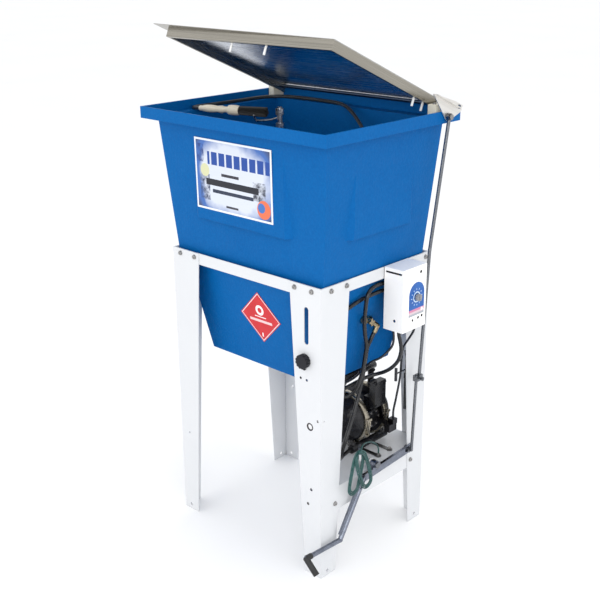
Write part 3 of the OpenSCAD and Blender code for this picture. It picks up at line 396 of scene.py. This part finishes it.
# Holes of the control box: y, z and radius on its front, and x, z and radius on its side, in mm
BOX_FRONT_HOLES = ((94, 771, 4.2), (65, 649, 3.4), (88, 651, 3.8), (103, 653, 3.8))
BOX_SIDE_HOLE = (299, 652, 3.8)
# Painted shade round the leg's small holes, and the dark brown of the grommet in its large hole
SHADE_AND_GROMMET_BROWN = (0.020, 0.014, 0.012)
SHADE = (0.012, 0.012, 0.014)
WHITE, WHITE_SHADE = (0.66, 0.67, 0.685), (0.58, 0.60, 0.63)
MATERIALS = {
    "tank": moulded("tank_blue", (0.0007, 0.0960, 0.3200), (0.0022, 0.1300, 0.3950), 0.50, 170.0, 0.0010,
                    0.08),
    "white": powder("white_powder", WHITE, WHITE_SHADE),
    "drilled": powder("drilled_powder", WHITE, WHITE_SHADE, shade_and_grommet_rings=HOLE_SHADE_AND_GROMMET_RINGS),
    "box": box_white(),
    # The lid's face that looks down, inside its skirt, gets a brighter painted reflection colour
    "lid": brushed("lid_brushed", (0.46, 0.445, 0.41), (0.34, 0.33, 0.30), 0.24, LID_TILT,
                   painted_underside_reflection=(0.84, 0.87, 0.92)),
    "skirt": brushed("skirt_brushed", (0.44, 0.41, 0.35), (0.26, 0.245, 0.21), 0.26, LID_TILT),
    "crank": brushed("crank_brushed", (0.86, 0.84, 0.80), (0.70, 0.68, 0.64), 0.40, LID_TILT, "y"),
    "steel": metal("plain_steel", (0.60, 0.60, 0.61), (0.42, 0.42, 0.43), 0.30),
    "zinc": metal("zinc_plate", (0.40, 0.39, 0.38), (0.14, 0.14, 0.14), 0.22, 260.0),
    "rod": metal("rod_steel", (0.20, 0.21, 0.225), (0.10, 0.105, 0.12), 0.24, 220.0),
    "shaft": metal("shaft_steel", (0.10, 0.13, 0.19), (0.05, 0.07, 0.11), 0.34, 160.0),
    "lever": metal("lever_steel", (0.22, 0.24, 0.29), (0.10, 0.11, 0.14), 0.20, 90.0),
    "brass": metal("brass", (0.50, 0.41, 0.26), (0.20, 0.155, 0.09), 0.26, 180.0),
    "clamp": metal("clamp_plate", (0.46, 0.42, 0.34), (0.17, 0.15, 0.11), 0.24, 120.0),
    "foot": metal("foot_steel", (0.20, 0.20, 0.20), (0.10, 0.10, 0.105), 0.32, 160.0),
    "motor": metal("motor_casting", (0.060, 0.060, 0.066), (0.025, 0.025, 0.030), 0.34, 320.0),
    "block": moulded("block_plastic", (0.66, 0.62, 0.50), (0.76, 0.73, 0.63), 0.40, 500.0, 0.0002),
    "peg": moulded("peg_plastic", (0.80, 0.80, 0.78), (0.88, 0.88, 0.87), 0.35, 500.0, 0.0002),
    "pump": moulded("pump_plastic", (0.004, 0.004, 0.005), (0.020, 0.020, 0.024), 0.24, 420.0, 0.0003, 0.32),
    "knob": moulded("knob_plastic", (0.003, 0.003, 0.006), (0.012, 0.012, 0.018), 0.36, 600.0, 0.0002, 0.28),
    "dial": moulded("dial_knob", (0.20, 0.20, 0.21), (0.40, 0.40, 0.41), 0.26, 600.0, 0.0001),
    "ivory": moulded("ivory_plastic", (0.70, 0.63, 0.48), (0.80, 0.75, 0.64), 0.38, 420.0, 0.0003),
    "bristle": moulded("bristle_nylon", (0.010, 0.010, 0.010), (0.050, 0.048, 0.045), 0.55, 900.0, 0.0002),
    "grip": rubber("grip_rubber", (0.012, 0.012, 0.012), (0.040, 0.040, 0.040), 0.60),
    "hose": rubber("hose_rubber", (0.005, 0.005, 0.006), (0.022, 0.023, 0.027), 0.24),
    "tube": rubber("tube_plastic", (0.006, 0.007, 0.012), (0.024, 0.028, 0.045), 0.22),
    "wash": rubber("wash_hose", (0.016, 0.018, 0.020), (0.055, 0.060, 0.066), 0.42, 700.0, 300.0),
    "cable": rubber("cable_green", (0.012, 0.066, 0.062), (0.036, 0.140, 0.130), 0.28, 900.0),
    "label": label_print(), "diamond": diamond_print(), "decal": decal_print(),
}

# What each node is made to look like
LOOKS = {
    "tank": "tank", "front_left_leg": "white", "front_right_leg": "drilled", "rear_left_leg": "white",
    "rear_right_leg": "white", "front_rail": "white", "rear_rail": "white", "left_rail": "white",
    "right_rail": "white", "rail_bolts": "zinc", "pump_shelf": "white", "shelf_bolts": "zinc",
    "hinge_blocks": "block", "block_screws": "zinc", "hinge_shaft": "shaft", "lid_sheet": "lid",
    "lid_skirt": "skirt", "lid_guide_pegs": "peg", "lid_crank": "crank", "crank_pin": "zinc",
    "upper_rod": "rod", "rod_coupler": "rod", "lower_rod": "rod", "pedal_bracket": "white",
    "pedal_pivot_pin": "rod", "pedal_lever": "lever", "pedal_grip": "grip", "pump_body": "motor",
    "pump_front_chamber": "pump", "pump_rear_chamber": "pump", "pump_band_clamps": "clamp",
    "pump_diaphragms": "grip", "pump_shaft": "steel", "pump_manifolds": "pump", "pump_muffler": "pump",
    "pump_feet": "foot", "pump_bolts": "zinc", "control_box": "box", "control_decal": "decal",
    "timer_valve": "steel", "timer_knob": "dial", "air_inlet_fitting": "brass", "air_valve_body": "brass",
    "air_valve_knob": "knob", "drain_valve": "brass", "drain_handle": "brass", "suction_hose": "hose",
    "discharge_hose": "hose", "air_hoses": "tube", "hose_fittings": "brass", "spray_riser": "steel",
    "brush_handle": "ivory", "brush_bristles": "bristle", "brush_hose": "wash",
    "earth_cable_hook": "steel", "earth_cable_lead": "cable", "earth_cable_hank": "cable",
    "air_whip": "tube", "tank_label": "label", "hazard_diamond": "diamond",
}
# Width of each node's rounded edges, in metres
BEVELS = {
    "tank": 0.0022, "control_box": 0.0012, "lid_skirt": 0.0005, "lid_sheet": 0.0004, "hinge_blocks": 0.0015,
    "front_left_leg": 0.0007, "front_right_leg": 0.0007, "rear_left_leg": 0.0007, "rear_right_leg": 0.0007,
    "front_rail": 0.0007, "rear_rail": 0.0007, "left_rail": 0.0007, "right_rail": 0.0007,
    "pump_shelf": 0.0008, "pump_body": 0.0010, "pump_front_chamber": 0.0014, "pump_rear_chamber": 0.0014,
    "pump_feet": 0.0008, "pump_muffler": 0.0008, "timer_knob": 0.0010, "air_valve_knob": 0.0010,
    "lid_crank": 0.0005, "rod_coupler": 0.0012, "air_inlet_fitting": 0.0008, "air_valve_body": 0.0010,
    "drain_valve": 0.0007, "drain_handle": 0.0006, "pump_band_clamps": 0.0008, "pump_bolts": 0.0004,
    "shelf_bolts": 0.0005, "rail_bolts": 0.0005, "pedal_lever": 0.0010, "pedal_bracket": 0.0006,
    "earth_cable_hook": 0.0006, "timer_valve": 0.0006, "pump_manifolds": 0.0008, "crank_pin": 0.0005,
}


def polish(node, width):
    """Rounds a CAD node's sharp edges with modifiers, which leave its own mesh as it is."""
    o = NODES[node]
    weld = o.modifiers.new("weld", "WELD")
    weld.merge_threshold = 1e-6
    flat = o.modifiers.new("flat", "DECIMATE")
    flat.decimate_type = "DISSOLVE"
    flat.angle_limit = math.radians(0.25)
    bevel = o.modifiers.new("bevel", "BEVEL")
    bevel.width = width
    bevel.segments = 2
    bevel.limit_method = "ANGLE"
    bevel.angle_limit = math.radians(35)
    bevel.use_clamp_overlap = True
    bevel.harden_normals = True
    bevel.miter_outer = "MITER_ARC"


for node, look in LOOKS.items():
    o = NODES[node]
    o.data.materials.clear()
    o.data.materials.append(MATERIALS[look])
for node, width in BEVELS.items():
    polish(node, width)


# ------------------------------------------------------------------ helpers
def smooth_line(points, step):
    """Catmull-Rom line through the points, cut into equal short steps."""
    p = [Vector(q) for q in points]
    p = [p[0] * 2 - p[1], *p, p[-1] * 2 - p[-2]]
    dense = []
    for i in range(1, len(p) - 2):
        a, b, c, d = p[i - 1:i + 3]
        for k in range(12):
            t = k / 12
            dense.append(0.5 * ((2 * b) + (c - a) * t + (2 * a - 5 * b + 4 * c - d) * t * t
                                + (3 * b - a - 3 * c + d) * t ** 3))
    dense.append(p[-2])
    out, kept = [dense[0]], 0.0
    for a, b in zip(dense, dense[1:]):
        kept += (b - a).length
        if kept >= step:
            out.append(b)
            kept = 0.0
    if (out[-1] - dense[-1]).length < step * 0.4:
        out[-1] = dense[-1]
    else:
        out.append(dense[-1])
    return out


def tube(name, line, radius, look, nodes, body="stand"):
    """Round hose along a line, as a curve of one open spline."""
    data = bpy.data.curves.new(name, "CURVE")
    data.dimensions = "3D"
    data.bevel_depth = radius
    data.bevel_resolution = 4
    data.use_fill_caps = True
    spline = data.splines.new("POLY")
    spline.points.add(len(line) - 1)
    for point, place in zip(spline.points, line):
        point.co = (*place, 1)
    spline.use_smooth = True
    o = bpy.data.objects.new(name, data)
    bpy.context.scene.collection.objects.link(o)
    data.materials.append(MATERIALS[look])
    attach(o, body)
    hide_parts(*nodes)
    return o


def mesh_piece(name, verts, faces, look, nodes, smooth=True):
    """A piece of the stand built from its own vertices and faces."""
    data = bpy.data.meshes.new(name)
    data.from_pydata([tuple(v) for v in verts], [], faces)
    bm = bmesh.new()
    bm.from_mesh(data)
    bmesh.ops.recalc_face_normals(bm, faces=bm.faces)
    bm.to_mesh(data)
    bm.free()
    for f in data.polygons:
        f.use_smooth = smooth
    data.materials.append(MATERIALS[look])
    o = bpy.data.objects.new(name, data)
    bpy.context.scene.collection.objects.link(o)
    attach(o, "stand")
    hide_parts(*nodes)


def lathe(start, axis, profile, sides=40):
    """Vertices and faces of a turned shape: profile is [(distance, radius)...] along axis from start."""
    axis = Vector(axis).normalized()
    u = axis.orthogonal().normalized()
    v = axis.cross(u)
    verts, faces = [], []
    for s, r in profile:
        for k in range(sides):
            a = 2 * math.pi * k / sides
            verts.append(start + axis * s + (u * math.cos(a) + v * math.sin(a)) * r)
    for i in range(len(profile) - 1):
        for k in range(sides):
            n = (k + 1) % sides
            faces.append((i * sides + k, i * sides + n, (i + 1) * sides + n, (i + 1) * sides + k))
    faces.append(tuple(range(sides)))
    faces.append(tuple((len(profile) - 1) * sides + k for k in range(sides)))
    return verts, faces


# ------------------------------------------------------------- brush and grip
# The brush's ends, from the hose to the bristles
brush_a, brush_b = at(-266, -97, 1137.5), at(-72, -40, 1139)
brush_axis = (brush_b - brush_a).normalized()
# The handle's turned outline: distance along its axis and radius, in metres
HANDLE = ((0.000, 0.0052), (0.002, 0.0068), (0.012, 0.0070), (0.014, 0.0082), (0.024, 0.0096),
    (0.036, 0.0100), (0.048, 0.0092), (0.056, 0.0080), (0.062, 0.0090), (0.070, 0.0098), (0.074, 0.0080),
    (0.080, 0.0074), (0.086, 0.0080), (0.090, 0.0118), (0.096, 0.0130), (0.114, 0.0130), (0.120, 0.0118),
    (0.122, 0.0100))
# The tuft: how many bristles, its radius, where they root and how long they are, in metres
BRISTLES, TUFT_R, TUFT_FROM, BRISTLE_LONG = 420, 0.0108, 0.1205, 0.0785
ROOT_WIDE, TIP_WIDE = 0.00055, 0.00038
GOLDEN_TURN, THIRD_TURN = 2.39996, 2.0944
verts, faces = lathe(brush_a, brush_axis, HANDLE)
mesh_piece("brush_handle_turned", verts, faces, "ivory", ("brush_handle",))

verts, faces = [], []
side_a = brush_axis.orthogonal().normalized()
side_b = brush_axis.cross(side_a)
for k in range(BRISTLES):
    ring_r = TUFT_R * math.sqrt((k + 0.5) / BRISTLES)
    turn_a = k * GOLDEN_TURN
    outward = side_a * math.cos(turn_a) + side_b * math.sin(turn_a)
    root = brush_a + brush_axis * TUFT_FROM + outward * ring_r
    lean = outward * (ring_r * 0.16)
    tip = root + brush_axis * (BRISTLE_LONG + random.uniform(-0.004, 0.0025)) + lean
    first = len(verts)
    for place, width in ((root, ROOT_WIDE), (tip, TIP_WIDE)):
        for q in range(3):
            a = turn_a + q * THIRD_TURN
            verts.append(place + (side_a * math.cos(a) + side_b * math.sin(a)) * width)
    faces += [(first, first + 1, first + 4, first + 3), (first + 1, first + 2, first + 5, first + 4),
        (first + 2, first, first + 3, first + 5), (first + 3, first + 4, first + 5),
        (first + 2, first + 1, first)]
mesh_piece("brush_bristle_tuft", verts, faces, "bristle", ("brush_bristles",), smooth=False)

# Sleeve over the pedal's bent end, whose three points are the lever's own
knee, corner, end = at(277, -150, 93), at(277, -278, 100.5), at(310, -278, 70)
back, ahead = (knee - corner).normalized(), (end - corner).normalized()
sleeve = [corner + back * 0.018, corner + back * 0.006, corner, corner + ahead * 0.006, end,
    end + ahead * 0.003]
tube("pedal_grip_sleeve", smooth_line(sleeve, 0.003), 0.0079, "grip",
     ("pedal_grip",), body="pedal")

# ------------------------------------------------------------------- cords
brush_route = [(-266.3, -97.1, 1137.5), (-277, -99.6, 1137.1), (-288, -97.2, 1136.5),
    (-296.6, -89, 1135.8), (-301.2, -78, 1135.4), (-302.4, -64, 1135.3), (-301, -40, 1135.3),
    (-298, -5, 1135.3), (-296, 40, 1135.3), (-296, 90, 1135.3), (-296, 130, 1135.3), (-293, 160, 1135.3),
    (-284, 184, 1135.3), (-270, 201, 1135.3), (-252, 213, 1135.3), (-225, 220, 1135.3),
    (-190, 223, 1135.3), (-150, 223, 1135.3), (-110, 221, 1135.5), (-72, 215, 1136), (-36, 203, 1136),
    (0, 186, 1132), (36, 168, 1121), (72, 150, 1104), (106, 134, 1080), (136, 121, 1048),
    (158, 112, 1008), (174, 105, 960), (184, 99, 905), (190, 94, 850), (192, 91, 800), (194, 90, 776),
    (199, 90, 757), (209, 90, 740.5), (221, 90, 736), (231.9, 90, 736)]
# The hose runs on into the hollow handle
inside = [brush_a + brush_axis * 0.030, brush_a + brush_axis * 0.060]
line = smooth_line([at(*p) for p in reversed(brush_route)] + inside, 0.012)
brush_cord = tube("brush_hose_line", line, 0.00475, "wash", ("brush_hose",))

# The earth cable: a lead from the pump's foot bolt, then six turns hung over a strap
earth_route = [(239, 48, 252.5), (239, 48, 262), (240.5, 41, 277), (245, 24, 293), (251, 4, 306),
    (258, -16, 316.5), (266, -36, 325), (274, -55, 331.5), (280, -69, 334.5)]
# Centre of the hank's upper round, its outer radius, the length of its straight sides and the wire, in mm
HANK_X, HANK_Y, HANK_Z = 291.0, -92.0, 308.0
HANK_R, HANK_LONG, WIRE = 27.0, 74.0, 4.0
# How much each nested turn is smaller than the last
NEST = 4.2


def hank_points():
    """Two leaning loops of three nested turns each, wound inwards on one and outwards on the other."""
    out = []
    per_turn, turns = 28, 3
    for layer, x, lean in ((0, HANK_X - 2.4, math.radians(-15)), (1, HANK_X + 2.4, math.radians(20))):
        for i in range(layer, per_turn * turns + 1):
            t = i / per_turn
            r = HANK_R - NEST * (t if layer == 0 else turns - t) - WIRE / 2
            a = 2 * math.pi * t
            y = -r * math.sin(a) * (1.0 + 0.03 * math.sin(9 * t))
            z = r * math.cos(a) - HANK_LONG * (0.5 - 0.5 * math.tanh(2.6 * math.cos(a)))
            out.append(at(x + 0.25 * math.sin(5 * a + layer),
                          HANK_Y + y * math.cos(lean) - z * math.sin(lean),
                          HANK_Z + y * math.sin(lean) + z * math.cos(lean)))
    return out


line = smooth_line([at(*p) for p in earth_route] + hank_points(), 0.003)
earth_cord = tube("earth_cable_line", line, 0.00195, "cable",
                  ("earth_cable_lead", "earth_cable_hank"))

# ---------------------------------------------------------------- held hoses
suction_route = [(236.48, 21.9, 605.8), (234.9, 11.3, 588.9), (226, 9, 566), (219, 11, 528),
    (214, 8, 485), (213, -6, 438), (216, -26, 397), (220, -45, 371), (224, -62, 347), (225, -76, 322),
    (222, -84, 296), (212, -80, 276), (199, -62, 264), (188, -38, 259.7), (183, -14, 259.5),
    (183, -0.2, 259.5)]
discharge_route = [(140, -0.2, 452), (140, -10, 452), (143, -21, 448), (153, -31, 441), (170, -36, 434),
    (192, -37, 432), (211, -35, 443), (226, -31, 466), (232, -27, 487), (236, -21, 510),
    (239.5, -16, 552), (241, -13, 583), (243.5, -22, 614), (248, -31, 648), (254, -36, 681),
    (260, -40, 708), (262, -37, 727), (261, -24, 739), (258, -2, 742), (256, 22, 741.5), (254, 46, 738),
    (254, 62, 736), (254, 75.8, 736)]
valve_hose_route = [(256, 59.8, 722), (256, 42, 722), (252, 10, 720), (249, -20, 717), (247, -50, 713),
    (246.5, -84, 706), (245, -108, 698), (242.8, -132, 686), (239, -154, 668), (231.5, -173, 648),
    (221, -184, 633), (214.5, -186, 624), (214, -186, 617), (214, -186, 611.2)]
exhaust_route = [(298, 44, 626), (298, 46, 608), (297, 56, 580), (292, 64, 554), (281, 68, 526),
    (262, 68, 502), (240, 66, 484), (220, 58, 474), (206, 44, 468), (199, 24, 464), (196, 0, 461),
    (194, -40, 458), (190, -90, 457), (186, -140, 457), (181, -182, 468), (179, -197, 490),
    (184, -200, 520), (196, -196, 546), (206, -190, 562), (206, -190, 578.9)]
supply_route = [(290, 32, 626), (291, 34, 600), (286, 32, 576), (270, 12, 550), (248, 0, 535),
    (227, -3.5, 512), (220, -20, 497), (216, -42, 489), (214, -80, 487), (215, -120, 492),
    (218, -150, 508), (220, -176, 536), (220, -188, 560), (220, -188, 578.9)]
signal_route = [(305, 100, 626), (303, 101, 606), (288, 102, 580), (268, 112, 555), (256, 119, 536),
    (252, 120, 500), (250, 119, 454), (243, 113, 390), (238, 110, 355), (238, 110, 333.2)]

# Each hose's piece, route, radius in metres, material, slot and the node that it stands for
HOSES = (("suction_line", suction_route, 0.0054, "hose", "hose_rubber", ("suction_hose",)),
    ("discharge_line", discharge_route, 0.0053, "hose", "hose_rubber", ("discharge_hose",)),
    ("valve_line", valve_hose_route, 0.0050, "hose", "tube_plastic", ("air_hoses",)),
    ("exhaust_line", exhaust_route, 0.0050, "hose", "tube_plastic", ("air_hoses",)),
    ("supply_line", supply_route, 0.0030, "tube", "tube_plastic", ("air_hoses",)),
    ("signal_line", signal_route, 0.0030, "tube", "tube_plastic", ("air_hoses",)))
for name, route, radius, look, slot, nodes in HOSES:
    tube(name, smooth_line([at(*p) for p in route], 0.008), radius, look, nodes)

# ------------------------------------------------------------------- stage
def softbox(name, place, aim, size, power):
    """A white area light that faces a point."""
    data = bpy.data.lights.new(name, "AREA")
    data.shape = "RECTANGLE"
    data.size, data.size_y = size
    data.energy = power
    o = bpy.data.objects.new(name, data)
    o.location = place
    o.rotation_euler = (Vector(aim) - Vector(place)).to_track_quat("-Z", "Y").to_euler()
    bpy.context.scene.collection.objects.link(o)


floor_data = bpy.data.meshes.new("floor")
floor_data.from_pydata([(-40, -40, 0), (40, -40, 0), (40, 40, 0), (-40, 40, 0)], [], [(0, 1, 2, 3)])
floor = bpy.data.objects.new("floor", floor_data)
bpy.context.scene.collection.objects.link(floor)
n = Nodes("floor_pale")
pale = n.blend(n.remap(n.noise(0.8), 0.3, 0.7, 0.0, 1.0), (0.92, 0.92, 0.92), (0.94, 0.94, 0.94))
floor_data.materials.append(n.done(pale, 0.85))

world = bpy.data.worlds.new("studio")
world.use_nodes = True
sky = world.node_tree.nodes["Background"]
sky.inputs["Color"].default_value = (0.97, 0.98, 1.0, 1)
sky.inputs["Strength"].default_value = 1.1
bpy.context.scene.world = world
bpy.context.scene.view_settings.view_transform = "Standard"

# Name, place, aim, size in metres and power in watts
softbox("key", (2.5, -2.7, 2.0), (0, 0, 0.85), (2.0, 1.6), 34)
softbox("front", (-0.6, -3.8, 1.3), (0, 0, 0.75), (2.2, 1.8), 17)
softbox("side", (3.9, -0.2, 1.5), (0, 0, 0.75), (1.8, 2.2), 14)
softbox("top", (0.2, 0.6, 4.2), (0, 0, 0.9), (2.4, 2.4), 14)
